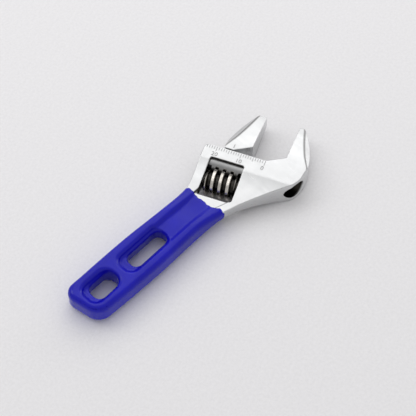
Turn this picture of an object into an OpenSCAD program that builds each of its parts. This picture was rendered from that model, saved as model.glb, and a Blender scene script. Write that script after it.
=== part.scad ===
// Stubby wide-opening adjustable wrench: forged body, sliding jaw, worm, worm pin,
// take-up spring and dipped vinyl grip. Millimetres, +Z up, lying on its underside.
// Row frame: X runs from the handle's end to the jaws, the origin is on the underside
// below the corner where the fixed jaw's face meets the slide.
// Head frame: x is the distance out along the jaws, y is the way the jaw slides open.

/* [Head] */
// Angle between the handle and the jaws
head_angle = 22.5; // [15:0.5:25]
// Thickness of the head
head_t = 10.9; // [10.9:0.1:12]
// How far the jaws stand out from the slide
jaw_reach = 22.2; // [21.4:0.2:23]
// Thickness left at the jaws' tips
tip_t = 5.6; // [4:0.2:7]
// Where the faces start to curve down towards the tips
taper_start = 4; // [3:0.5:8]
// Depth of the flat full-thickness band behind the slide's edge
band_depth = 7.35; // [7:0.05:8]

/* [Opening] */
// Distance between the jaws as stored
opening = 13.9; // [2:0.1:20]

/* [Slide] */
// Radius of the rack's round bore in the body
rack_bore_r = 4; // [3.9:0.05:4.1]
// Distance from the slide's edge to the bore's axis
rack_depth = 5.4; // [5.3:0.1:5.6]
// Radial clearance of the rack in its bore
rack_clear = 0.05; // [0.02:0.01:0.08]
// Thickness of the neck that joins the jaw to its rack
neck_t = 3.7; // [3.4:0.1:4]

/* [Worm] */
// Outer radius of the worm's thread
worm_r = 5.4; // [5.2:0.05:5.4]
// Radius of the worm's core
worm_core_r = 3.6; // [3.4:0.1:3.8]
// Distance from one thread to the next
worm_pitch = 3.14; // [3.1:0.01:3.2]
// Distance from the slide's edge to the worm's axis
worm_depth = 13.6; // [13.5:0.05:13.7]
// Radius of the worm's pin
pin_r = 1.5; // [1.4:0.05:1.6]

/* [Handle] */
// Overall length behind the origin
handle_len = 97.6; // [92:0.2:110]
// Thickness of the steel handle's rims
handle_t = 7.4; // [7:0.1:8]
// Thickness of the vinyl grip's wall
grip_wall = 0.9; // [0.6:0.1:1.2]
// Where the grip starts, behind the origin
grip_start = 30.4; // [30:0.2:34]

/* [Hidden] */

mid_z = head_t / 2;
eps = 0.02;
big = 200;

window_x = [-21.6, -5.4];
window_y = [14.0, 28.1];
leg_y = 32.3;
heel_y = -9.5;
slant_h = 4.1;
throat_end = slant_h / tan(30);
bevel_tilt = 38;
bevel_turn = 28;

worm_y = [window_y[0] + 0.05, window_y[1] - 0.5];
thread_phase_y = 20.75;
thread_tip_w = 0.95;
thread_flank = 17;
mesh_play = 0.2;
lead_angle = atan(worm_pitch / (2 * PI * 4.7));

rack_r = rack_bore_r - rack_clear;
rack_u = [-4.4, 17.8];
neck_u = [1.6, 10.2];
rack_root_x = -worm_depth + worm_r + 0.25;

// ---- outline helpers ----

// Points of the arc through a, b and c, both ends included
function arc3(a, b, c, n = 8) =
    let (
        d = 2 * (a.x * (b.y - c.y) + b.x * (c.y - a.y) + c.x * (a.y - b.y)),
        aa = a * a,
        bb = b * b,
        cc = c * c,
        o = [
            (aa * (b.y - c.y) + bb * (c.y - a.y) + cc * (a.y - b.y)) / d,
            (aa * (c.x - b.x) + bb * (a.x - c.x) + cc * (b.x - a.x)) / d
        ],
        r = norm(a - o),
        t0 = atan2(a.y - o.y, a.x - o.x),
        tb = atan2(b.y - o.y, b.x - o.x),
        tc = atan2(c.y - o.y, c.x - o.x),
        up_b = (tb - t0 + 720) % 360,
        up_c = (tc - t0 + 720) % 360,
        sweep = up_b < up_c ? up_c : up_c - 360
    )
    [for (i = [0 : n]) o + r * [cos(t0 + sweep * i / n), sin(t0 + sweep * i / n)]];

// A corner at p, between points a and b, rounded with radius r
function round_corner(a, p, b, r, n = 5) =
    let (
        u = (a - p) / norm(a - p),
        v = (b - p) / norm(b - p),
        half = acos(u * v) / 2,
        reach = r / tan(half),
        p1 = p + u * reach,
        p2 = p + v * reach,
        m = p + (u + v) / norm(u + v) * (r / sin(half) - r)
    )
    arc3(p1, m, p2, n);

// Corners given as [x, y, radius]; radius 0 keeps a sharp corner
function rounded(c) =
    let (n = len(c))
    [
        for (i = [0 : n - 1])
            let (
                a = c[(i + n - 1) % n],
                p = c[i],
                b = c[(i + 1) % n]
            )
            each p[2] > 0
                ? round_corner([a.x, a.y], [p.x, p.y], [b.x, b.y], p[2])
                : [[p.x, p.y]]
    ];

// ---- frames ----

// Places a shape drawn in the head frame into the row frame
module head_frame() {
    rotate([0, 0, head_angle])
        children();
}

// Extrudes a head-frame plan over the head's whole thickness
module head_slab(points) {
    linear_extrude(height = head_t)
        polygon(points);
}

// Extrudes an [x, z] side profile along y, from y0 to y1
module along_y(points, y0, y1) {
    translate([0, y1, 0])
        rotate([90, 0, 0])
            linear_extrude(height = y1 - y0)
                polygon(points);
}

// A cylinder along y at [x, z]
module rod_y(x, z, y0, y1, r) {
    translate([x, y0, z])
        rotate([-90, 0, 0])
            cylinder(r = r, h = y1 - y0, $fn = 64);
}

// ---- plans, in the head frame ----

tip_end = jaw_reach - 0.6;
fixed_jaw_back = arc3([tip_end - 2, -3.6], [10.1, -7.8], [2.2, heel_y]);
heel = arc3([2.2, heel_y], [-2.9, -8.7], [-7.8, -6.0], 6);
heel_to_handle = arc3([-7.8, -6.0], [-14.2, 2.6], [-26.0, 14.9]);

head_plan = concat(
    [[slant_h, 0]],
    round_corner([slant_h, 0], [jaw_reach, 0], [tip_end, -2.1], 0.9, 4),
    round_corner([jaw_reach, 0], [tip_end, -2.1], [tip_end - 2, -3.6], 0.8, 4),
    [for (i = [1 : len(fixed_jaw_back) - 1]) fixed_jaw_back[i]],
    [for (i = [1 : len(heel) - 1]) heel[i]],
    [for (i = [1 : len(heel_to_handle) - 1]) heel_to_handle[i]],
    [[-28.6, 17.6], [-26, 27], [-21.5, leg_y - 0.2]],
    round_corner([-21.5, leg_y - 0.2], [0, leg_y], [0, 20], 2.2),
    [[0, throat_end]]
);

movable_jaw_plan = concat(
    [[slant_h + 0.25, 0]],
    round_corner([slant_h, 0], [jaw_reach, 0], [jaw_reach - 0.2, 3.4], 0.6, 4),
    round_corner([jaw_reach, 0], [jaw_reach - 0.2, 3.4], [tip_end - 2, 5.1], 0.9, 4),
    arc3([tip_end - 2, 5.1], [12.1, 8.7], [5.0, 10.7]),
    [[0.4, 10.7], [0.4, (slant_h + 0.25 - 0.4) / tan(30)]]
);

// ---- shared head features ----

// Both faces curve away towards the tips of the jaws
module tip_taper() {
    drop = (head_t - tip_t) / 2;
    run = jaw_reach - taper_start;
    steps = 12;
    curve = [for (i = [0 : steps]) [taper_start + run * i / steps, drop * pow(i / steps, 1.5)]];
    past = [[jaw_reach + 2, drop], [jaw_reach + 2, -5], [taper_start, -5]];
    for (side = [0, 1])
        translate([0, 0, side * head_t])
            mirror([0, 0, side])
                along_y(concat(curve, past), -40, 60);
}

// A plane bevel ground along the back of a jaw, on both faces, cutting away what lies beyond
// a line through edge_point
module back_bevel(edge_point, edge_turn) {
    for (side = [0, 1])
        translate([edge_point.x, edge_point.y, side * head_t])
            mirror([0, 0, side])
                rotate([0, 0, edge_turn])
                    rotate([bevel_tilt, 0, 0])
                        translate([-30, 0, -20])
                            cube([60, 20, 20]);
}

// ---- handle ----

// Half widths of the steel handle along its length, [distance behind the origin, half width]
handle_waist = [[24, 9.6], [30, 8.8], [36, 8.0], [43, 7.6], [52, 7.8], [64, 8.2], [78, 8.1], [90, 7.8]];
handle_mid_y = [13.0, 14.4];

function handle_y(d) = handle_mid_y[0] + (handle_mid_y[1] - handle_mid_y[0]) * (d - 30) / 60;

// Plan of the handle, grown outwards by g
function handle_plan(g) = concat(
    [for (w = handle_waist) [-w[0], handle_y(w[0]) - w[1] - g]],
    round_corner([-90, 6.6 - g], [-handle_len + 3.2 - g, 6.6 - g], [-handle_len + 0.9 - g, 22], 5 + g),
    round_corner([-94, 6], [-handle_len + 0.9 - g, 22.3 + g], [-90, 22.3 + g], 3.4 + g),
    [for (i = [len(handle_waist) - 1 : -1 : 0])
        let (w = handle_waist[i]) [-w[0], handle_y(w[0]) + w[1] + g]]
);

// Half thickness of the handle seen from the side, grown outwards by g
function handle_side(g) =
    let (upper = [[-20, 2.3], [-31, 2.3], [-37, 3.1], [-44, handle_t / 2], [-handle_len - 5, handle_t / 2]])
    concat(
        [for (p = upper) [p.x, mid_z + p.y + g]],
        [for (i = [len(upper) - 1 : -1 : 0]) [upper[i].x, mid_z - upper[i].y - g]]
    );

// Corners of the slots and pockets: [x from, x to, half width, corner radius]
long_slot = [-71.9, -52.2, 4.1, 3.4];
hang_slot = [-91.0, -77.8, 4.5, 3.6];
long_pocket = [-76.0, -51.0, 5.7, 4.6];
hang_pocket = [-94.2, -77.8, 5.9, 4.6];
pocket_floor = 1.6;
web_floor_far = 2.3;

// Plan of the hollow web from the window's lower edge to the long slot, shrunk by g
function web_plan(g) = [
    [long_pocket[1] - 4, 8.0 + g],
    [-32, 8.0 + g],
    [-25, 5.5 + g],
    [-25, 18.4 - g],
    [long_pocket[1] - 4, 18.8 - g]
];

// Plan of a slot or pocket shrunk on all sides by g
function slot_plan(s, g) =
    let (
        y = handle_y(-(s[0] + s[1]) / 2),
        h = s[2] - g,
        r = s[3] - g
    )
    rounded([[s[0] + g, y - h, r], [s[1] - g, y - h, r], [s[1] - g, y + h, r], [s[0] + g, y + h, r]]);

// A pocket sunk into both faces, leaving a web in the middle that is thicker by g on each side.
// The web grows from pocket_floor at the neck to floor_far beside the long slot.
module sunk(points, g, floor_far = pocket_floor) {
    profile = [[-big, floor_far + g], [-50, floor_far + g], [-34, pocket_floor + g],
        [0, pocket_floor + g], [0, head_t], [-big, head_t]];
    for (side = [0, 1])
        translate([0, 0, mid_z])
            mirror([0, 0, side])
                intersection() {
                    linear_extrude(height = head_t)
                        polygon(points);
                    along_y(profile, -5, 40);
                }
}

// The handle's solid, grown outwards by g on every face
module handle_core(g) {
    difference() {
        intersection() {
            linear_extrude(height = head_t + 2 * g)
                polygon(handle_plan(g));
            along_y(handle_side(g), -5, 40);
        }
        for (s = [long_slot, hang_slot])
            translate([0, 0, -head_t])
                linear_extrude(height = 3 * head_t)
                    polygon(slot_plan(s, g));
        for (s = [long_pocket, hang_pocket])
            sunk(slot_plan(s, g), g);
        sunk(web_plan(g), g, web_floor_far);
    }
}

// ---- body ----

// Hollow faces that run from the thick head down to the thin neck
module neck_hollows() {
    hollow_r = 49.5;
    low_x = -25;
    low_half = 2.2;
    for (side = [-1, 1])
        intersection() {
            rod_y(low_x, mid_z + side * (low_half + hollow_r), -40, 60, hollow_r);
            translate([-60, -40, mid_z - (side < 0 ? 20 : 0)])
                cube([60 - band_depth, 100, 20]);
        }
}

// Millimetre marks engraved along the slide's edge, longer at every fifth
module scale_marks() {
    mark_w = 0.18;
    mark_depth = 0.12;
    for (i = [0 : 24]) {
        mark_len = i % 10 == 0 ? 2.4 : i % 5 == 0 ? 2.0 : 1.4;
        translate([-0.35 - mark_len, 7.1 + i - mark_w / 2, head_t - mark_depth])
            cube([mark_len, mark_w, 1]);
    }
}

module body() {
    color("gainsboro")
        difference() {
            union() {
                head_frame()
                    difference() {
                        head_slab(head_plan);
                        neck_hollows();
                    }
                intersection() {
                    handle_core(0);
                    translate([-big, -big, -1])
                        cube([big - 24, 2 * big, 20]);
                }
            }
            sunk(web_plan(0), 0, web_floor_far);
            head_frame() {
                tip_taper();
                back_bevel([8.8, -5.4], bevel_turn - 180);
                translate([window_x[0], window_y[0], -1])
                    cube([window_x[1] - window_x[0], window_y[1] - window_y[0], head_t + 2]);
                rod_y(-rack_depth, mid_z, -20, 40, rack_bore_r);
                translate([-rack_depth, neck_u[0] - 0.4, mid_z - neck_t / 2 - 0.1])
                    cube([rack_depth + 6, 40, neck_t + 0.2]);
                rod_y(-worm_depth, mid_z, 8.5, 40, pin_r + eps);
                scale_marks();
            }
        }
}

// ---- movable jaw ----

// One space between rack teeth, cut along z and slanted by the worm's lead
module rack_space() {
    tip_x = -rack_depth - rack_bore_r;
    w_root = thread_tip_w + mesh_play;
    w_tip = w_root + 2 * (rack_root_x - tip_x) * tan(thread_flank);
    rotate([lead_angle, 0, 0])
        translate([0, 0, -6])
            linear_extrude(height = 12)
                polygon([
                    [rack_root_x, -w_root / 2],
                    [tip_x - 0.5, -w_tip / 2],
                    [tip_x - 0.5, w_tip / 2],
                    [rack_root_x, w_root / 2]
                ]);
}

module movable_jaw() {
    space_y = thread_phase_y + worm_pitch / 4;
    color("whitesmoke")
        head_frame()
            difference() {
                translate([0, opening, 0])
                    union() {
                        difference() {
                            head_slab(movable_jaw_plan);
                            tip_taper();
                            back_bevel([8.8, 6.7], -bevel_turn);
                        }
                        translate([-rack_depth, neck_u[0], mid_z - neck_t / 2])
                            cube([rack_depth + 2.4, neck_u[1] - neck_u[0], neck_t]);
                        translate([3, 3.2, mid_z - neck_t / 2])
                            cube([3, 5, neck_t]);
                        rod_y(-rack_depth, mid_z, rack_u[0], rack_u[1], rack_r);
                    }
                for (i = [-4 : 4])
                    translate([0, space_y + i * worm_pitch, mid_z])
                        rack_space();
            }
}

// ---- worm ----

// Radius of the thread at angle a in a plane across the worm, crest at angle 0
function thread_r(a) =
    let (
        off = abs((a + 540) % 360 - 180) / 360 * worm_pitch,
        down = max(0, off - thread_tip_w / 2) / tan(thread_flank)
    )
    max(worm_core_r, worm_r - down);

module worm() {
    len_y = worm_y[1] - worm_y[0];
    turns = len_y / worm_pitch;
    start_angle = (worm_y[0] - thread_phase_y) / worm_pitch * 360 - 90;
    points = 30;
    color("dimgray")
        head_frame()
            translate([-worm_depth, worm_y[0], mid_z])
                rotate([-90, 0, 0])
                    difference() {
                        intersection() {
                            linear_extrude(height = len_y, twist = -360 * turns, slices = round(15 * turns))
                                polygon([
                                    for (i = [0 : points - 1])
                                        let (a = i * 360 / points)
                                        thread_r(a - start_angle) * [cos(a), sin(a)]
                                ]);
                            rotate_extrude($fn = 64)
                                polygon([
                                    [0, 0],
                                    [worm_core_r - 0.1, 0],
                                    [worm_core_r - 0.1, 0.5],
                                    [worm_r - 0.04, 1.5],
                                    [worm_r - 0.04, len_y - 1.3],
                                    [worm_core_r - 0.1, len_y - 0.3],
                                    [worm_core_r - 0.1, len_y],
                                    [0, len_y]
                                ]);
                        }
                        translate([0, 0, -1])
                            cylinder(r = pin_r + 0.05, h = len_y + 2, $fn = 48);
                        translate([0, 0, len_y - 3.6])
                            cylinder(r = 2.7, h = 5, $fn = 48);
                    }
}

// ---- worm pin ----

module worm_pin() {
    pin_y = [8.6, leg_y - 0.35];
    slot_w = 0.6;
    color("silver")
        head_frame()
            difference() {
                rod_y(-worm_depth, mid_z, pin_y[0], pin_y[1], pin_r);
                translate([-worm_depth - 3, pin_y[1] - 0.7, mid_z - slot_w / 2])
                    cube([6, 2, slot_w]);
            }
}

// ---- take-up spring ----

// One ring of points round the wire at turn angle a, height h
function wire_ring(a, h, coil_r, wire_r, sides) =
    [for (k = [0 : sides - 1])
        let (
            w = k * 360 / sides,
            r = coil_r + wire_r * cos(w)
        )
        [r * cos(a), r * sin(a), h + wire_r * sin(w)]];

module worm_spring() {
    coil_r = 2.1;
    wire_r = 0.22;
    sides = 6;
    steps = 14;
    turns = 5;
    rings = steps * turns;
    low = worm_y[1] - 3.55 + wire_r;
    rise = window_y[1] - eps - wire_r - low;
    points = [
        for (i = [0 : rings])
            each wire_ring(i * 360 / steps, rise * i / rings, coil_r, wire_r, sides)
    ];
    walls = [
        for (i = [0 : rings - 1])
            for (k = [0 : sides - 1])
                let (
                    a = i * sides + k,
                    b = i * sides + (k + 1) % sides
                )
                each [[a, b, b + sides], [a, b + sides, a + sides]]
    ];
    start_cap = [[for (k = [sides - 1 : -1 : 0]) k]];
    end_cap = [[for (k = [0 : sides - 1]) rings * sides + k]];
    color("lightsteelblue")
        head_frame()
            translate([-worm_depth, low, mid_z])
                rotate([-90, 0, 0])
                    polyhedron(points = points, faces = concat(walls, start_cap, end_cap));
}

// ---- grip ----

module grip_sleeve() {
    color([0.16, 0.15, 0.72])
        difference() {
            intersection() {
                handle_core(grip_wall);
                translate([-big, -big, -5])
                    cube([big - grip_start, 2 * big, 30]);
            }
            handle_core(0);
        }
}

body();
movable_jaw();
worm();
worm_pin();
worm_spring();
grip_sleeve();
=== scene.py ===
"""Stubby adjustable wrench: satin chrome head and jaw, dark worm, dipped blue vinyl grip."""

import math

import bpy
import numpy as np
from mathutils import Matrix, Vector


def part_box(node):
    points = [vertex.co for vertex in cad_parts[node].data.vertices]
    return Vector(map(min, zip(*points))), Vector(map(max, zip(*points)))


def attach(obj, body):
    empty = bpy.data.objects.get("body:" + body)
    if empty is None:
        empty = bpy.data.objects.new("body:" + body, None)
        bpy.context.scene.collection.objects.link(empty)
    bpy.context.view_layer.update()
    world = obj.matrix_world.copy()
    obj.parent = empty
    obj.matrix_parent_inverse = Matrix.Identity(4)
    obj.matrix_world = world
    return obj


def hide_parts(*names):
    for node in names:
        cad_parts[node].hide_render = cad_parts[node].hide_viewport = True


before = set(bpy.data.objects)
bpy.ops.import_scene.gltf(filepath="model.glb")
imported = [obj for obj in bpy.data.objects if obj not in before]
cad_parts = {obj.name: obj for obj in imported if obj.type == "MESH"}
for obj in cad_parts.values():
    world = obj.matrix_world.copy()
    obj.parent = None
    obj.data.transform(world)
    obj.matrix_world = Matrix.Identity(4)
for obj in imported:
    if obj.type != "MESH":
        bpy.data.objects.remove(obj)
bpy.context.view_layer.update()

MM = 0.001


# ---------------------------------------------------------------- dimensions
# Millimetres. The head frame has x out along the jaws and y the way the jaw opens; it is the
# row frame turned by HEAD_ANGLE. Heights are measured from the plane halfway through the head.

HEAD_ANGLE = math.radians(22.5)
HEAD_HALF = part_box("movable_jaw")[1].z / MM / 2
JAW_REACH = 22.2
TIP_END = JAW_REACH - 0.6
TIP_HALF = 2.8
TAPER_START = 4.0
BEVEL_TILT = math.radians(38)
BEVEL_TURN = math.radians(28)
BEVEL_X = 8.8
BODY_BEVEL_Y = -5.4
JAW_BEVEL_Y = 6.7
FACE_RELIEF = 0.05
OPENING = 13.9
THROAT = 4.1
SLANT = math.tan(math.radians(30))
BAND = 7.35
LEG_Y = 32.3
HEEL_Y = -9.5

SCALE_ZERO_Y = 7.1
MARK_RISE = 0.006

WINDOW_X = (-21.6, -5.4)
WINDOW_Y = (14.0, 28.1)

BORE_R = 4.0
RACK_X = -5.4
RACK_R = 3.95
RACK_U = (-4.4, 17.8)
NECK_U = (1.6, 10.2)
NECK_HALF = 1.85

WORM_X = -13.6
WORM_R = 5.36
WORM_CORE = 3.55
WORM_Y = (14.05, 27.6)
PITCH = 3.14
PHASE_Y = 20.75
THREAD_TIP = 0.95
FLANK = math.tan(math.radians(17))
LEAD = PITCH / (2 * math.pi * 4.7)
PIN_R = 1.5

NECK_LOW = 2.2
HOLLOW_R = 49.5
HOLLOW_X = -25.0

RIM_HALF = 3.7
GRIP_WALL = 0.9
GRIP_START = -31.7
HANDLE_END = -97.6
WAIST = [(24, 9.6), (30, 8.8), (36, 8.0), (43, 7.6), (52, 7.8), (64, 8.2), (78, 8.1), (90, 7.8)]


# ---------------------------------------------------------------- distance fields

def round_max(a, b, r):
    """Intersection of two solids whose shared edge is rounded with radius r."""
    u = np.maximum(a + r, 0)
    v = np.maximum(b + r, 0)
    return np.minimum(-r, np.maximum(a, b)) + np.sqrt(u * u + v * v)


def round_min(a, b, r):
    """Union of two solids whose inside corner is filled with radius r."""
    return -round_max(-a, -b, r)


def cut(a, b, r):
    """Solid a with b taken away, its new edges rounded with radius r."""
    return round_max(a, -b, r)


def smoothstep(lo, hi, x):
    t = np.clip((x - lo) / (hi - lo), 0, 1)
    return t * t * (3 - 2 * t)


def polygon_distance(points, x, y):
    """Signed distance to a closed polygon, negative inside."""
    x, y = np.broadcast_arrays(np.asarray(x, float), np.asarray(y, float))
    nearest = np.full(x.shape, np.inf)
    inside = np.zeros(x.shape, bool)
    for (ax, ay), (bx, by) in zip(points, np.roll(points, -1, axis=0)):
        ex, ey = bx - ax, by - ay
        length2 = ex * ex + ey * ey
        if length2 < 1e-12:
            continue
        wx, wy = x - ax, y - ay
        along = np.clip((wx * ex + wy * ey) / length2, 0, 1)
        nearest = np.minimum(nearest, (wx - ex * along) ** 2 + (wy - ey * along) ** 2)
        if abs(ey) > 1e-12:
            inside ^= ((ay > y) != (by > y)) & (wx < wy * ex / ey)
    return np.where(inside, -1, 1) * np.sqrt(nearest)


def box_distance(x, y, x_range, y_range, r):
    """Signed distance to a rectangle with corner radius r."""
    cx, hx = sum(x_range) / 2, (x_range[1] - x_range[0]) / 2
    cy, hy = sum(y_range) / 2, (y_range[1] - y_range[0]) / 2
    qx = np.abs(x - cx) - hx + r
    qy = np.abs(y - cy) - hy + r
    outside = np.sqrt(np.maximum(qx, 0) ** 2 + np.maximum(qy, 0) ** 2)
    return outside + np.minimum(np.maximum(qx, qy), 0) - r


# ---------------------------------------------------------------- outlines

def arc(a, b, c, n=24):
    """Points of the arc through a, b and c."""
    (ax, ay), (bx, by), (cx, cy) = a, b, c
    d = 2 * (ax * (by - cy) + bx * (cy - ay) + cx * (ay - by))
    aa, bb, cc = ax * ax + ay * ay, bx * bx + by * by, cx * cx + cy * cy
    ox = (aa * (by - cy) + bb * (cy - ay) + cc * (ay - by)) / d
    oy = (aa * (cx - bx) + bb * (ax - cx) + cc * (bx - ax)) / d
    r = math.hypot(ax - ox, ay - oy)
    start = math.atan2(ay - oy, ax - ox)
    to_b = (math.atan2(by - oy, bx - ox) - start) % (2 * math.pi)
    to_c = (math.atan2(cy - oy, cx - ox) - start) % (2 * math.pi)
    sweep = to_c if to_b < to_c else to_c - 2 * math.pi
    return [(ox + r * math.cos(start + sweep * i / n), oy + r * math.sin(start + sweep * i / n))
            for i in range(n + 1)]


def corner(a, p, b, r, n=8):
    """Points of a corner at p between a and b, rounded with radius r."""
    a, p, b = Vector(a), Vector(p), Vector(b)
    u, v = (a - p).normalized(), (b - p).normalized()
    half = math.acos(max(-1, min(1, u.dot(v)))) / 2
    reach = r / math.tan(half)
    middle = p + (u + v).normalized() * (r / math.sin(half) - r)
    return arc(p + u * reach, middle, p + v * reach, n)


def spline(points, n=8):
    """Catmull-Rom curve through the points."""
    p = np.array(points, float)
    p = np.vstack([2 * p[0] - p[1], p, 2 * p[-1] - p[-2]])
    out = []
    for i in range(1, len(p) - 2):
        for k in range(n):
            t = k / n
            out.append(0.5 * (2 * p[i] + (p[i + 1] - p[i - 1]) * t
                              + (2 * p[i - 1] - 5 * p[i] + 4 * p[i + 1] - p[i + 2]) * t * t
                              + (3 * p[i] - p[i - 1] - 3 * p[i + 1] + p[i + 2]) * t ** 3))
    out.append(p[-2])
    return [tuple(q) for q in out]


def head_to_row(x, y):
    c, s = math.cos(HEAD_ANGLE), math.sin(HEAD_ANGLE)
    return c * x - s * y, s * x + c * y


def row_to_head(x, y):
    c, s = math.cos(HEAD_ANGLE), math.sin(HEAD_ANGLE)
    return c * x + s * y, c * y - s * x


def jaw_tip(end, back, r):
    """The rounded tip of a jaw, from its face over the corner at end to its back."""
    return (corner((THROAT, 0), (JAW_REACH, 0), end, r)
            + corner((JAW_REACH, 0), end, back, 0.9))


def head_plan():
    return np.array(
        [(THROAT, 0)]
        + jaw_tip((TIP_END, -2.1), (TIP_END - 2, -3.6), 0.9)
        + arc((TIP_END - 2, -3.6), (10.1, -7.9), (2.2, HEEL_Y))
        + arc((2.2, HEEL_Y), (-2.9, -8.7), (-7.8, -6.0), 12)[1:]
        + arc((-7.8, -6.0), (-14.2, 2.6), (-26.0, 14.9))[1:]
        + [(-28.6, 17.6), (-26, 27), (-21.5, LEG_Y - 0.2)]
        + corner((-21.5, LEG_Y - 0.2), (0, LEG_Y), (0, 20), 2.2)
        + [(0, THROAT / SLANT)])


def jaw_plan():
    low = 0.45
    return np.array(
        [(THROAT + 0.25, 0)]
        + jaw_tip((JAW_REACH - 0.2, 3.4), (TIP_END - 2, 5.1), 0.6)
        + arc((TIP_END - 2, 5.1), (12.1, 8.7), (4.8, 10.7))
        + corner((4.8, 10.7), (low, 10.7), (low, 7), 0.5)
        + [(low, (THROAT + 0.25 - low) / SLANT)])


def handle_y(x):
    """Y of the handle's centre line at x."""
    return 13.0 + 1.4 * (-x - 30) / 60


def handle_plan():
    low = [(-d, handle_y(-d) - w) for d, w in WAIST]
    high = [(-d, handle_y(-d) + w) for d, w in reversed(WAIST)]
    end = (corner((-90, 6.6), (HANDLE_END + 3.4, 6.6), (HANDLE_END + 0.9, 22), 5.5)
           + corner((-94, 6), (HANDLE_END + 0.9, 22.3), (-90, 22.3), 3.6))
    return np.array(spline(low)[:-1] + end + spline(high)[1:])


# ---------------------------------------------------------------- mesh from a field

EDGES = [((0, 0, 0), (1, 0, 0)), ((0, 1, 0), (1, 1, 0)), ((0, 0, 1), (1, 0, 1)), ((0, 1, 1), (1, 1, 1)),
         ((0, 0, 0), (0, 1, 0)), ((1, 0, 0), (1, 1, 0)), ((0, 0, 1), (0, 1, 1)), ((1, 0, 1), (1, 1, 1)),
         ((0, 0, 0), (0, 0, 1)), ((1, 0, 0), (1, 0, 1)), ((0, 1, 0), (0, 1, 1)), ((1, 1, 0), (1, 1, 1))]


def surface_net(values, axes):
    """Quads round the zero level of a sampled field: vertices (n, 3) and faces (m, 4)."""
    size = np.array(values.shape) - 1

    def corner_values(offset):
        i, j, k = offset
        return values[i:i + size[0], j:j + size[1], k:k + size[2]]

    inside = values < 0
    count = np.zeros(size, np.int8)
    for i in (0, 1):
        for j in (0, 1):
            for k in (0, 1):
                count += inside[i:i + size[0], j:j + size[1], k:k + size[2]]
    active = (count > 0) & (count < 8)
    cells = np.argwhere(active)
    index = np.full(size, -1, np.int64)
    index[active] = np.arange(len(cells))
    total = np.zeros((len(cells), 3))
    hits = np.zeros(len(cells))
    for a, b in EDGES:
        va = corner_values(a)[active]
        vb = corner_values(b)[active]
        crosses = (va < 0) != (vb < 0)
        t = np.where(crosses, va / np.where(crosses, va - vb, 1), 0)
        total += crosses[:, None] * (np.array(a) + t[:, None] * (np.array(b) - np.array(a)))
        hits += crosses
    place = cells + total / hits[:, None]
    verts = np.stack([np.interp(place[:, k], np.arange(len(axes[k])), axes[k]) for k in range(3)], axis=1)
    faces = []
    for w in range(3):
        u, v = (w + 1) % 3, (w + 2) % 3
        first = np.moveaxis(inside, (w, u, v), (0, 1, 2))
        ids = np.moveaxis(index, (w, u, v), (0, 1, 2))
        near, far = first[:-1, 1:-1, 1:-1], first[1:, 1:-1, 1:-1]
        quad = np.stack([ids[:, :-1, :-1], ids[:, 1:, :-1], ids[:, 1:, 1:], ids[:, :-1, 1:]], axis=-1)
        faces.append(quad[near & ~far])
        faces.append(quad[~near & far][:, ::-1])
    return verts, np.concatenate(faces)


def settle(field, verts, step):
    """Moves the vertices on to the field's zero level."""
    h = step * 0.05
    for _ in range(2):
        value = field(*verts.T)
        slope = np.stack([(field(*(verts + d).T) - field(*(verts - d).T)) / (2 * h)
                          for d in np.eye(3) * h], axis=1)
        size2 = np.maximum((slope ** 2).sum(1), 0.2)
        move = slope * (value / size2)[:, None]
        length = np.linalg.norm(move, axis=1, keepdims=True)
        verts = verts - move * np.minimum(1, 0.5 * step / np.maximum(length, 1e-9))
    return verts


def make_object(name, verts, faces):
    mesh = bpy.data.meshes.new(name)
    mesh.from_pydata([tuple(v) for v in verts.tolist()], [], [tuple(f) for f in faces.tolist()])
    mesh.update()
    obj = bpy.data.objects.new(name, mesh)
    bpy.context.scene.collection.objects.link(obj)
    return obj


def axis(*parts):
    """Grid positions along one axis, from (start, end, step) parts that follow on."""
    return np.concatenate([np.arange(a, b, step) for a, b, step in parts] + [[parts[-1][1]]])


def field_object(name, field, axes, step, in_head):
    """The solid where field is negative, as an object placed in the row frame in metres."""
    x, y, z = axes
    values = field(x[:, None, None], y[None, :, None], z[None, None, :])
    verts, faces = surface_net(values, axes)
    verts = settle(field, verts, step)
    if in_head:
        verts[:, 0], verts[:, 1] = head_to_row(verts[:, 0], verts[:, 1])
    verts[:, 2] += HEAD_HALF
    return make_object(name, verts * MM, faces)


def shade(obj, degrees=40):
    """Smooth shading that keeps edges sharper than the angle."""
    obj.data.polygons.foreach_set("use_smooth", [True] * len(obj.data.polygons))
    obj.data.set_sharp_from_angle(angle=math.radians(degrees))


def head_points(obj):
    """Vertices in the head frame, in millimetres, with z from the head's middle plane."""
    flat = np.empty(len(obj.data.vertices) * 3)
    obj.data.vertices.foreach_get("co", flat)
    x, y, z = flat.reshape(-1, 3).T / MM
    x, y = row_to_head(x, y)
    return x, y, z - HEAD_HALF


def shadow(obj, amount):
    """Stores painted shade for each vertex in the recess attribute, for the material to darken: higher
    where the vertex lies further in a recess.
    """
    layer = obj.data.attributes.new("recess", "FLOAT", "POINT")
    layer.data.foreach_set("value", np.ascontiguousarray(amount, np.float32))


# ---------------------------------------------------------------- body

HEAD_PLAN = head_plan()
JAW_PLAN = jaw_plan()
HANDLE_PLAN = handle_plan()
HANDLE_PLAN_HEAD = np.stack(row_to_head(HANDLE_PLAN[:, 0], HANDLE_PLAN[:, 1]), axis=1)

# Slots and pockets of the steel handle: x range, half width, corner radius
LONG_SLOT = ((-71.9, -52.2), 4.1, 3.6)
HANG_SLOT = ((-91.0, -77.8), 4.5, 3.8)
LONG_POCKET = ((-76.0, -51.0), 5.7, 4.8)
HANG_POCKET = ((-94.2, -77.8), 5.9, 4.8)
WEB_PLAN = np.array([(-55, 8.0), (-32, 8.0), (-25, 5.5), (-25, 18.4), (-55, 18.8)])
POCKET_FLOOR = 1.6
WEB_RISE = 0.7


def slot_distance(slot, x, y):
    x_range, half, r = slot
    mid = handle_y(sum(x_range) / 2)
    return box_distance(x, y, x_range, (mid - half, mid + half), r)


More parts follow.
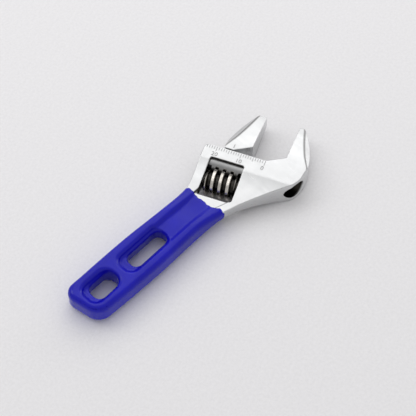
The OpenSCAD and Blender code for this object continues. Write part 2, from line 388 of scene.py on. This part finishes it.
def pocket_field(x, y, up, wall=0, slope=0, top=0, r=0):
    """The hollow web and the slots' pockets, shrunk by wall, with walls that slope from top."""
    lean = math.hypot(1, slope)
    inwards = wall + slope * np.maximum(top - up, 0)
    web_floor = POCKET_FLOOR + WEB_RISE * smoothstep(-34, -50, x)
    web = (polygon_distance(WEB_PLAN, x, y) + inwards) / lean
    web = round_max(web, (web_floor + wall - up) * 0.98, r)
    slots = np.minimum(slot_distance(LONG_POCKET, x, y), slot_distance(HANG_POCKET, x, y))
    slots = round_max((slots + inwards) / lean, (POCKET_FLOOR + wall - up) * 0.98, r)
    return np.minimum(web, slots)


def handle_half(x):
    """Half thickness of the handle: thin at the neck, thick along the grip."""
    return NECK_LOW + (RIM_HALF - NECK_LOW) * smoothstep(-30, -46, x)


def tip_taper(x, z):
    """Above zero where both faces have curved away towards the jaws' tips."""
    along = np.clip((x - TAPER_START) / (JAW_REACH - TAPER_START), 0, 1.1)
    return np.abs(z) - HEAD_HALF + (HEAD_HALF - TIP_HALF) * along ** 1.5


def ground_bevel(x, y, z, edge_y, side):
    """Above zero in the plane bevel ground along the back of a jaw."""
    beyond = (x - BEVEL_X) * math.sin(BEVEL_TURN) + side * (y - edge_y) * math.cos(BEVEL_TURN)
    return beyond * math.sin(BEVEL_TILT) - (HEAD_HALF - np.abs(z)) * math.cos(BEVEL_TILT)


def bevel_edge_shade(x, y, z, edge_y, side):
    """A thin painted dark line of shade where the ground bevel meets the jaw's face."""
    off = np.abs(ground_bevel(x, y, z, edge_y, side)) + np.abs(tip_taper(x, z))
    return 0.6 * smoothstep(0.4, 0.15, off) * (x > 1)


def blank_field(x, y, z):
    """The forging before its window, slots and bores are cut."""
    row_x, row_y = head_to_row(x, y)
    up = np.abs(z)
    head = polygon_distance(HEAD_PLAN, x, y)
    handle = polygon_distance(HANDLE_PLAN_HEAD, x, y)
    plan = round_min(head, handle, 1.5)

    shifted = x - 0.95 * (y > 21)
    hollow_top = NECK_LOW + HOLLOW_R - np.sqrt(
        HOLLOW_R ** 2 - np.clip(shifted - HOLLOW_X, 0, -BAND - HOLLOW_X) ** 2)
    height = np.where(shifted > -BAND, HEAD_HALF, hollow_top)
    height = np.where(row_x < -26, np.maximum(height, handle_half(row_x)), height)
    solid = round_max(plan, (up - height) * 0.95, 0.35)

    heel_w = 0.5 * smoothstep(5, 1, x) * smoothstep(-5, -1, x) * smoothstep(3, -3, y)
    heel = (2.1 * (head + heel_w) + 1.15 * (up - HEAD_HALF)) / math.hypot(2.1, 1.15)
    solid = np.maximum(solid, np.where(heel_w > 0.01, heel, -9))
    solid = round_max(solid, tip_taper(x, z), 0.2)
    return round_max(solid, ground_bevel(x, y, z, BODY_BEVEL_Y, -1), 0.1)


def body_field(x, y, z):
    row_x, row_y = head_to_row(x, y)
    up = np.abs(z)
    solid = blank_field(x, y, z)
    window = box_distance(x, y, WINDOW_X, WINDOW_Y, 0.9)
    solid = cut(solid, window, 0.2)
    solid = cut(solid, pocket_field(row_x, row_y, up), 0.2)
    for slot in (LONG_SLOT, HANG_SLOT):
        solid = cut(solid, slot_distance(slot, row_x, row_y), 0.4)

    bore = np.hypot(x - RACK_X, z) - BORE_R
    solid = cut(solid, bore, 0.15)
    slide = np.maximum(np.maximum(up - NECK_HALF - 0.1, RACK_X - x), 1.2 - y)
    solid = cut(solid, slide, 0.15)
    pin_hole = np.maximum(np.hypot(x - WORM_X, z) - PIN_R - 0.03, 8.5 - y)
    return cut(solid, pin_hole, 0.1)


def make_body():
    body = field_object("forged_body", body_field,
                        (axis((-91, -30, 0.45), (-30, 22.8, 0.2)), axis((-10.4, 34, 0.2), (34, 58, 0.45)),
                         axis((-6, 6, 0.2))), 0.2, True)
    x, y, z = head_points(body)
    # Painted shade for the recess attribute: darker on the cut walls inside the window, bore and slide, a
    # painted dark line along the web pocket's outline on the handle, and a thin painted line where the
    # ground bevel meets the face.
    inside = smoothstep(0.1, 0.9, -blank_field(x, y, z)) * (x > WINDOW_X[0] - 0.1)
    row_x, row_y = head_to_row(x, y)
    crease_shade = smoothstep(0.42, 0.12, np.abs(polygon_distance(WEB_PLAN, row_x, row_y))) * (row_x < -25.3)
    ground = bevel_edge_shade(x, y, z, BODY_BEVEL_Y, -1)
    shadow(body, np.maximum(np.maximum(inside, 0.9 * crease_shade), ground))
    return body


# ---------------------------------------------------------------- movable jaw

def jaw_field(x, y, z):
    u = y - OPENING
    up = np.abs(z)
    plan = np.maximum(polygon_distance(JAW_PLAN, x, u), FACE_RELIEF - u)
    solid = round_max(plan, up - HEAD_HALF, 0.3)
    solid = round_max(solid, tip_taper(x, z), 0.2)
    solid = round_max(solid, ground_bevel(x, u, z, JAW_BEVEL_Y, 1), 0.1)

    neck = np.maximum(box_distance(x, u, (RACK_X, 3.0), NECK_U, 0.1), up - NECK_HALF)
    across = np.hypot(x - RACK_X, z) - RACK_R
    rack = round_max(across, np.maximum(RACK_U[0] - u, u - RACK_U[1]), 0.5)

    root_x = WORM_X + 5.4 + 0.25
    from_space = y - (PHASE_Y + PITCH / 4) + LEAD * z
    from_space = np.abs((from_space + PITCH / 2) % PITCH - PITCH / 2)
    half = (THREAD_TIP + 0.2) / 2 + (root_x - x) * FLANK
    space = np.maximum((from_space - half) * 0.95, x - root_x)
    rack = cut(rack, space, 0.15)
    return np.minimum(solid, np.minimum(neck, rack))


def make_jaw():
    jaw = field_object("sliding_jaw_forging", jaw_field,
                       (axis((-9.8, 22.8, 0.18)), axis((9, 32.2, 0.18)), axis((-6, 6, 0.18))), 0.18, True)
    x, y, z = head_points(jaw)
    # Painted shade for the recess attribute: darker in the rack's tooth spaces, a flat painted shade over
    # the rack part behind x = -1.6 that moves with the jaw, and a thin painted line where the ground bevel
    # meets the face.
    painted_shade = smoothstep(RACK_R - 0.3, RACK_R - 1.6, np.hypot(x - RACK_X, z)) * (x < RACK_X)
    ground = bevel_edge_shade(x, y - OPENING, z, JAW_BEVEL_Y, 1)
    shadow(jaw, np.maximum(np.maximum(painted_shade, 0.52 * (x < -1.6)), ground))
    return jaw


# ---------------------------------------------------------------- worm

def make_worm():
    around, along = 96, 220
    a = np.linspace(0, 2 * math.pi, around, endpoint=False)
    y = np.linspace(WORM_Y[0], WORM_Y[1], along)
    crest = PHASE_Y + PITCH * (a / (2 * math.pi) + 0.25)
    off = np.abs((y[:, None] - crest[None, :] + PITCH / 2) % PITCH - PITCH / 2)
    thread = WORM_CORE + (WORM_R - WORM_CORE) * (1 - smoothstep(0.5, 1.1, off))
    ramp = np.minimum((y - WORM_Y[0] - 0.5) * 1.9, (WORM_Y[1] - 0.3 - y) * 1.9)
    limit = np.clip(WORM_CORE - 0.1 + ramp, WORM_CORE - 0.1, WORM_R)
    r = np.minimum(thread, limit[:, None])

    def ring(radius, height):
        return np.stack([WORM_X + radius * np.cos(a), np.full(around, height),
                         -radius * np.sin(a)], axis=1)

    rows = [ring(PIN_R + 0.05, WORM_Y[1] - 3.6), ring(PIN_R + 0.05, WORM_Y[0])]
    rows += [ring(WORM_CORE - 0.4, WORM_Y[0])]
    rows += [ring(r[i], y[i]) for i in range(along)]
    rows += [ring(WORM_CORE - 0.35, WORM_Y[1]), ring(2.7, WORM_Y[1]), ring(2.7, WORM_Y[1] - 3.6)]
    verts = np.concatenate(rows)
    n = len(rows)
    i, k = np.meshgrid(np.arange(n), np.arange(around), indexing="ij")
    nxt, right = (i + 1) % n, (k + 1) % around
    faces = np.stack([i * around + k, i * around + right, nxt * around + right, nxt * around + k], axis=-1)
    # Painted shade in the thread's grooves: darker towards the core.
    groove_shade = smoothstep(WORM_R - 0.5, WORM_CORE + 0.1, np.hypot(verts[:, 0] - WORM_X, verts[:, 2]))
    verts[:, 0], verts[:, 1] = head_to_row(verts[:, 0], verts[:, 1])
    verts[:, 2] += HEAD_HALF
    worm = make_object("knurl_worm", verts * MM, faces.reshape(-1, 4))
    shadow(worm, groove_shade)
    return worm


# ---------------------------------------------------------------- spring

def make_spring():
    coil_r, wire_r, sides, steps, turns = 2.1, 0.22, 12, 28, 5
    low = WORM_Y[1] - 3.55 + wire_r
    rise = WINDOW_Y[1] - 0.02 - wire_r - low
    n = steps * turns + 1
    verts = []
    for i in range(n):
        a = 2 * math.pi * i / steps
        for k in range(sides):
            w = 2 * math.pi * k / sides
            r = coil_r + wire_r * math.cos(w)
            verts.append((WORM_X + r * math.cos(a), low + rise * i / (n - 1) + wire_r * math.sin(w),
                          -r * math.sin(a)))
    verts = np.array(verts)
    verts[:, 0], verts[:, 1] = head_to_row(verts[:, 0], verts[:, 1])
    verts[:, 2] += HEAD_HALF
    mesh = bpy.data.meshes.new("coil_spring")
    faces = [(i * sides + k, i * sides + (k + 1) % sides,
              (i + 1) * sides + (k + 1) % sides, (i + 1) * sides + k)
             for i in range(n - 1) for k in range(sides)]
    faces += [tuple(range(sides))[::-1], tuple(range((n - 1) * sides, n * sides))]
    mesh.from_pydata((verts * MM).tolist(), [], faces)
    obj = bpy.data.objects.new("coil_spring", mesh)
    bpy.context.scene.collection.objects.link(obj)
    return obj


# ---------------------------------------------------------------- grip

def vinyl_edge(y, z):
    """X where the dipped coat ends: a wavy line, further out along the two rims."""
    rims = 1.7 * smoothstep(8.2, 5.6, y) + 0.7 * smoothstep(17.5, 20.5, y)
    return GRIP_START + rims - 0.15 * np.sin(1.3 * y) - 0.1 * np.sin(2.9 * y + 0.4 * z)


def steel_in_grip(x, y, z):
    """The part of the handle that the grip is dipped over."""
    up = np.abs(z)
    solid = round_max(polygon_distance(HANDLE_PLAN, x, y), (up - handle_half(x)) * 0.95, 0.35)
    solid = cut(solid, pocket_field(x, y, up), 0.2)
    for slot in (LONG_SLOT, HANG_SLOT):
        solid = cut(solid, slot_distance(slot, x, y), 0.4)
    return solid


def grip_field(x, y, z):
    """Outside of the grip: thick soft edges and sloping walls down into the hollows."""
    up = np.abs(z)
    edge = vinyl_edge(y, z)
    wall = GRIP_WALL * (0.5 + 0.5 * np.sqrt(np.clip((edge - x) / 0.9, 0, 1)))
    height = handle_half(x) + wall
    solid = round_max(polygon_distance(HANDLE_PLAN, x, y) - wall, (up - height) * 0.98, 2.4)
    recess = pocket_field(x, y, up, wall, 0.6, height - 0.3, 0.7)
    solid = cut(solid, recess, 1.0)
    for slot in (LONG_SLOT, HANG_SLOT):
        solid = cut(solid, slot_distance(slot, x, y) + wall, 0.9)
    return round_max(solid, x - edge, 0.35)


def sleeve_field(x, y, z):
    return np.maximum(grip_field(x, y, z), 0.02 - steel_in_grip(x, y, z))


def make_grip():
    return field_object("dipped_grip", sleeve_field,
                        (axis((-99, -29.2, 0.3)), axis((2.6, 24.8, 0.28)), axis((-5.2, 5.2, 0.26))),
                        0.28, False)


# ---------------------------------------------------------------- materials

def new_material(name, colour, metallic, roughness):
    mat = bpy.data.materials.new(name)
    mat.use_nodes = True
    shader = mat.node_tree.nodes["Principled BSDF"]
    shader.inputs["Base Color"].default_value = (*colour, 1)
    shader.inputs["Metallic"].default_value = metallic
    shader.inputs["Roughness"].default_value = roughness
    return mat, mat.node_tree, shader


def node(tree, kind, **values):
    made = tree.nodes.new(kind)
    for key, value in values.items():
        setattr(made, key, value)
    return made


def link(tree, source, target):
    tree.links.new(source, target)


def head_coordinates(tree, scale):
    """Object coordinates turned into the head frame and scaled per axis."""
    coords = node(tree, "ShaderNodeTexCoord")
    mapping = node(tree, "ShaderNodeMapping", vector_type="POINT")
    mapping.inputs["Rotation"].default_value = (0, 0, -HEAD_ANGLE)
    mapping.inputs["Scale"].default_value = scale
    link(tree, coords.outputs["Object"], mapping.inputs["Vector"])
    return mapping.outputs["Vector"]


def noise(tree, vector, scale, detail=3, roughness=0.55):
    made = node(tree, "ShaderNodeTexNoise")
    made.inputs["Scale"].default_value = scale
    made.inputs["Detail"].default_value = detail
    made.inputs["Roughness"].default_value = roughness
    link(tree, vector, made.inputs["Vector"])
    return made.outputs["Fac"]


def spread(tree, value, low, high):
    """Maps a noise value's middle range on to low..high."""
    made = node(tree, "ShaderNodeMapRange")
    made.inputs["From Min"].default_value = 0.3
    made.inputs["From Max"].default_value = 0.7
    made.inputs["To Min"].default_value = low
    made.inputs["To Max"].default_value = high
    link(tree, value, made.inputs["Value"])
    return made.outputs["Result"]


def mix_colour(tree, factor, a, b):
    made = node(tree, "ShaderNodeMix", data_type="RGBA")
    made.inputs["A"].default_value = (*a, 1)
    made.inputs["B"].default_value = (*b, 1)
    link(tree, factor, made.inputs["Factor"])
    return made.outputs["Result"]


def bump(tree, height, strength, distance, shader):
    made = node(tree, "ShaderNodeBump")
    made.inputs["Strength"].default_value = strength
    made.inputs["Distance"].default_value = distance
    link(tree, height, made.inputs["Height"])
    link(tree, made.outputs["Normal"], shader.inputs["Normal"])


def darkened(tree, colour, shader, painted_shade):
    """Blends the colour into a dark one by the recess attribute, which holds painted shade."""
    recess = node(tree, "ShaderNodeAttribute", attribute_name="recess")
    mixed = node(tree, "ShaderNodeMix", data_type="RGBA")
    mixed.inputs["B"].default_value = (*painted_shade, 1)
    link(tree, recess.outputs["Fac"], mixed.inputs["Factor"])
    link(tree, colour, mixed.inputs["A"])
    link(tree, mixed.outputs["Result"], shader.inputs["Base Color"])


def facing_up(tree, low, high):
    """1 on the ground faces, which look along +Z or -Z, and 0 on the forged sides."""
    coords = node(tree, "ShaderNodeTexCoord")
    parts = node(tree, "ShaderNodeSeparateXYZ")
    link(tree, coords.outputs["Normal"], parts.inputs["Vector"])
    size = node(tree, "ShaderNodeMath", operation="ABSOLUTE")
    link(tree, parts.outputs["Z"], size.inputs[0])
    made = node(tree, "ShaderNodeMapRange", interpolation_type="SMOOTHSTEP")
    made.inputs["From Min"].default_value = low
    made.inputs["From Max"].default_value = high
    link(tree, size.outputs["Value"], made.inputs["Value"])
    return made.outputs["Result"]


def satin_chrome(name, colour=(0.66, 0.665, 0.67), painted_shade=(0.032, 0.028, 0.024), rough=(0.26, 0.36)):
    mat, tree, shader = new_material(name, colour, 1.0, 0.3)
    lay = noise(tree, head_coordinates(tree, (900, 90, 900)), 1.0, 4)
    grain = noise(tree, head_coordinates(tree, (1, 1, 1)), 5200, 2)
    cloud = noise(tree, head_coordinates(tree, (1, 1, 1)), 160, 3)
    darker = tuple(0.90 * c for c in colour)
    ground = mix_colour(tree, spread(tree, cloud, 0, 1), colour, darker)
    plain = node(tree, "ShaderNodeMix", data_type="RGBA")
    plain.inputs["A"].default_value = (*colour, 1)
    link(tree, facing_up(tree, 0.3, 0.75), plain.inputs["Factor"])
    link(tree, ground, plain.inputs["B"])
    # Painted shade: the recess attribute blends the colour towards the dark shade colour.
    darkened(tree, plain.outputs["Result"], shader, painted_shade)
    link(tree, spread(tree, lay, *rough), shader.inputs["Roughness"])
    bump(tree, grain, 0.10, 0.00002, shader)
    return mat


def dark_chrome():
    colour = (0.80, 0.76, 0.70)
    mat, tree, shader = new_material("dark_chrome", colour, 1.0, 0.14)
    cloud = noise(tree, head_coordinates(tree, (1, 1, 1)), 700, 3)
    # Painted shade: the recess attribute darkens the thread's grooves.
    darkened(tree, mix_colour(tree, spread(tree, cloud, 0, 1), colour, (0.52, 0.49, 0.45)), shader,
             (0.030, 0.028, 0.025))
    link(tree, spread(tree, cloud, 0.16, 0.30), shader.inputs["Roughness"])
    return mat


def vinyl():
    mat, tree, shader = new_material("blue_vinyl", (0.008, 0.006, 0.42), 0.0, 0.3)
    coords = head_coordinates(tree, (1, 1, 1))
    cloud = noise(tree, coords, 90, 3)
    colour = mix_colour(tree, spread(tree, cloud, 0, 1), (0.008, 0.007, 0.48), (0.005, 0.004, 0.38))
    link(tree, colour, shader.inputs["Base Color"])
    link(tree, spread(tree, cloud, 0.17, 0.25), shader.inputs["Roughness"])
    shader.inputs["Specular IOR Level"].default_value = 0.15
    shader.inputs["Coat Weight"].default_value = 0.30
    shader.inputs["Coat Roughness"].default_value = 0.1
    return mat


def black_fill():
    mat, tree, shader = new_material("black_fill", (0.03, 0.03, 0.03), 0.0, 0.6)
    cloud = noise(tree, head_coordinates(tree, (1, 1, 1)), 1500, 2)
    link(tree, mix_colour(tree, spread(tree, cloud, 0, 1), (0.24, 0.24, 0.242), (0.34, 0.34, 0.342)),
         shader.inputs["Base Color"])
    return mat


# ---------------------------------------------------------------- scale

def stroke(x_range, y_range, z):
    """Corners of a flat mark in the head frame, standing very slightly proud of the steel."""
    (x0, x1), (y0, y1) = x_range, y_range
    corners = [(x0, y0), (x1, y0), (x1, y1), (x0, y1)]
    return [(*head_to_row(x, y), z + HEAD_HALF) for x, y in corners]


def make_marks(name, strokes, digits=()):
    """Dark marks lying on the steel: strokes as rectangles, digits as (text, x, y)."""
    verts = [v for one in strokes for v in one]
    faces = [tuple(range(i, i + 4)) for i in range(0, len(verts), 4)]
    for text, x, y in digits:
        bpy.ops.object.text_add()
        letters = bpy.context.object
        letters.data.body = text
        letters.data.size = 2.6
        letters.data.align_x = "CENTER"
        letters.data.align_y = "CENTER"
        letters.data.resolution_u = 3
        bpy.ops.object.convert(target="MESH")
        base = len(verts)
        for v in letters.data.vertices:
            verts.append((*head_to_row(x + v.co.y, y - v.co.x), HEAD_HALF * 2 + MARK_RISE))
        faces += [tuple(base + i for i in polygon.vertices) for polygon in letters.data.polygons]
        bpy.data.objects.remove(letters)
    return make_object(name, np.array(verts) * MM, np.array(faces, dtype=object))


def make_scale():
    strokes = []
    for i in range(25):
        length = 2.3 if i % 10 == 0 else 1.9 if i % 5 == 0 else 1.4
        y = SCALE_ZERO_Y + i
        strokes.append(stroke((-0.4 - length, -0.4), (y - 0.1, y + 0.1), HEAD_HALF + MARK_RISE))
    digits = [("0", -4.1, 7.4), ("10", -4.1, 17.1), ("20", -4.1, 27.1)]
    return make_marks("scale_marks", strokes, digits)


def make_index():
    y = OPENING + SCALE_ZERO_Y
    strokes = [stroke((1.3, 3.1), (y - 0.14, y + 0.14), HEAD_HALF + MARK_RISE)]
    return make_marks("index_mark", strokes)


# ---------------------------------------------------------------- build

def finish_piece(obj, body, replaced, material):
    shade(obj)
    obj.data.materials.clear()
    obj.data.materials.append(material)
    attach(obj, body)
    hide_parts(replaced)


body = make_body()
finish_piece(body, "wrench_body", "body", satin_chrome("satin_chrome_body"))
jaw = make_jaw()
finish_piece(jaw, "sliding_jaw", "movable_jaw", satin_chrome("satin_chrome_jaw"))
worm = make_worm()
finish_piece(worm, "worm_screw", "worm", dark_chrome())
spring = make_spring()
finish_piece(spring, "wrench_body", "worm_spring",
             satin_chrome("spring_steel", (0.5, 0.5, 0.52)))
grip = make_grip()
finish_piece(grip, "wrench_body", "grip_sleeve", vinyl())
black = black_fill()
for marks, owner, slot_name in ((make_scale(), "wrench_body", "satin_chrome_body"),
                                (make_index(), "sliding_jaw", "satin_chrome_jaw")):
    marks.data.materials.append(black)
    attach(marks, owner)
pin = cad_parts["worm_pin"]
pin.data.materials.clear()
pin.data.materials.append(satin_chrome("pin_steel", (0.6, 0.6, 0.6)))


# ---------------------------------------------------------------- camera, floor, light

AZIMUTH = math.radians(-47.2)
ELEVATION = math.radians(56.5)
DISTANCE = 0.5
TARGET = Vector((-0.03187, 0.01050, 0.0054))


def make_camera():
    back = Vector((math.sin(AZIMUTH) * math.cos(ELEVATION), -math.cos(AZIMUTH) * math.cos(ELEVATION),
                   math.sin(ELEVATION)))
    data = bpy.data.cameras.new("camera")
    data.sensor_width = 36
    data.lens = 111.9
    data.clip_start = 0.01
    camera = bpy.data.objects.new("camera", data)
    camera.location = TARGET + back * DISTANCE
    camera.rotation_euler = (-back).to_track_quat("-Z", "Y").to_euler()
    bpy.context.scene.collection.objects.link(camera)
    bpy.context.scene.camera = camera


def make_floor():
    bpy.ops.mesh.primitive_plane_add(size=4, location=(0, 0, 0))
    floor = bpy.context.object
    floor.name = "floor"
    mat, tree, shader = new_material("floor", (0.80, 0.79, 0.80), 0.0, 0.8)
    speckle = noise(tree, head_coordinates(tree, (1, 1, 1)), 900, 3, 0.7)
    link(tree, mix_colour(tree, spread(tree, speckle, 0, 1), (0.90, 0.89, 0.905), (0.83, 0.82, 0.835)),
         shader.inputs["Base Color"])
    floor.data.materials.append(mat)


def area_light(name, place, target, size, power):
    data = bpy.data.lights.new(name, "AREA")
    data.energy = power
    data.size = size
    light = bpy.data.objects.new(name, data)
    light.location = place
    light.rotation_euler = (Vector(target) - Vector(place)).to_track_quat("-Z", "Y").to_euler()
    bpy.context.scene.collection.objects.link(light)
    return light


def make_light():
    world = bpy.data.worlds.new("studio")
    world.use_nodes = True
    world.node_tree.nodes["Background"].inputs["Color"].default_value = (1, 1, 1, 1)
    world.node_tree.nodes["Background"].inputs["Strength"].default_value = 0.56
    bpy.context.scene.world = world
    overhead = Vector((-math.sin(AZIMUTH) * math.cos(ELEVATION), math.cos(AZIMUTH) * math.cos(ELEVATION),
                       math.sin(ELEVATION)))
    area_light("overhead", TARGET + overhead * 0.9, TARGET, 0.95, 2.2)
    area_light("back", TARGET + Vector((0.72, 0.45, 0.5)), TARGET, 0.8, 0.85)
    area_light("top", TARGET + Vector((-0.14, 0.17, 0.95)), TARGET, 0.5, 0.42)
    area_light("side", TARGET + Vector((1.0, -0.1, 0.24)), TARGET, 0.45, 0.85)
    area_light("key", (-0.35, 0.75, 0.75), TARGET, 0.5, 1.5)


make_camera()
make_floor()
make_light()
bpy.context.scene.view_settings.view_transform = "Standard"
